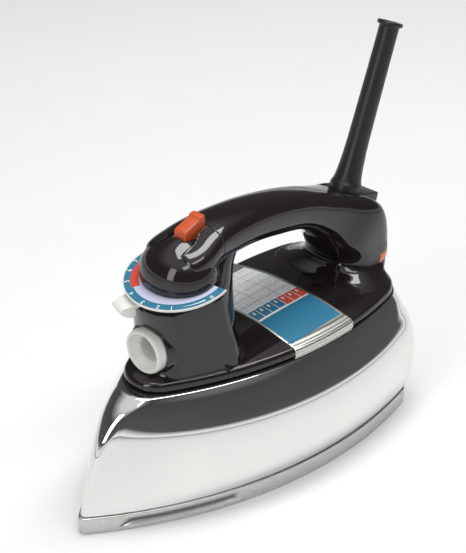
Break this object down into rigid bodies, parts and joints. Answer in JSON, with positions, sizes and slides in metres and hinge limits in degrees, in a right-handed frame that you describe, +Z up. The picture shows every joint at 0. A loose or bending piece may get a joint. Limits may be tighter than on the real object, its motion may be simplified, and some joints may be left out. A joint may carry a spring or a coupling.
{
  "type": "steam iron",
  "caption": "Steam and dry clothes iron with a polished metal shell, a looped black handle, a temperature dial with a lever, a steam button and a tapered cord sleeve.",
  "frame": {"origin": "on the sole face, on the centre line, at the middle of the soleplate's length", "axes": "+X to the pointed nose, +Y to the side where the dial's OFF mark is, +Z up from the sole to the handle"},
  "size_m": [0.2469, 0.1228, 0.2192],
  "materials": {
    "sole_alloy": "satin, lightly scratched",
    "element_sheath": "oxidised",
    "brass": "turned",
    "chamber_steel": "pressed sheet",
    "steel": "zinc plated",
    "bimetal": "rolled strip",
    "contact_bronze": "rolled strip",
    "shield_steel": "bright sheet",
    "chrome": "mirror polished",
    "tank_steel": "drawn sheet",
    "seal_rubber": "moulded",
    "gasket_rubber": "moulded",
    "orange_plastic": "gloss moulded",
    "black_moulding": "gloss phenolic moulding",
    "ivory_plastic": "gloss moulded",
    "label_plate": "brushed, printed panels",
    "dial_print": "printed disc",
    "ceramic": "pressed ceramic",
    "lead_insulation": "heat-proof sleeving",
    "lamp_lens": "translucent moulding",
    "lamp_glass": "clear",
    "guard_rubber": "satin moulded"
  },
  "bodies": {
    "root": {"soleplate": "sole_alloy", "heating_element": "element_sheath", "element_pins": "brass", "chamber_cover": "chamber_steel", "cover_screws": "steel", "thermostat_base": "steel", "bimetal_blade": "bimetal", "contact_blades": "contact_bronze", "heat_shield": "shield_steel", "shell": "chrome", "shell_screws": "steel", "water_tank": "tank_steel", "valve_jet": "brass", "rod_seal": "seal_rubber", "valve_spring": "steel", "tank_housing": "black_moulding", "lip_trim": "gasket_rubber", "fill_funnel": "ivory_plastic", "funnel_seal": "seal_rubber", "label_plate": "label_plate", "dial_scale": "dial_print", "dial_rim": "ivory_plastic", "handle": "black_moulding", "dial_cap": "black_moulding", "handle_bolts": "steel", "rear_cover": "black_moulding", "rear_cover_screw": "steel", "terminal_block": "ceramic", "lead_wires": "lead_insulation", "lamp_lens": "lamp_lens", "neon_lamp": "lamp_glass", "cord_guard": "guard_rubber", "cord_clamp": "ceramic"},
    "temperature_control": {"temperature_lever": "ivory_plastic", "spindle": "brass", "lever_clip": "steel"},
    "steam_control": {"steam_button": "orange_plastic", "valve_rod": "brass", "spring_clip": "steel"}
  },
  "joints": [
    {"name": "temperature_turn", "type": "hinge", "parent": "root", "child": "temperature_control", "pos_m": [0.033, 0, 0.125], "axis": [0.1908, 0, 0.9816], "range_deg": [-60, 100]},
    {"name": "steam_press", "type": "slide", "parent": "root", "child": "steam_control", "axis": [0, 0, 1], "range_m": [-0.004, 0], "stiffness_N_per_m": 300, "springref_m": 0.003, "deforming": ["valve_spring"]}
  ]
}
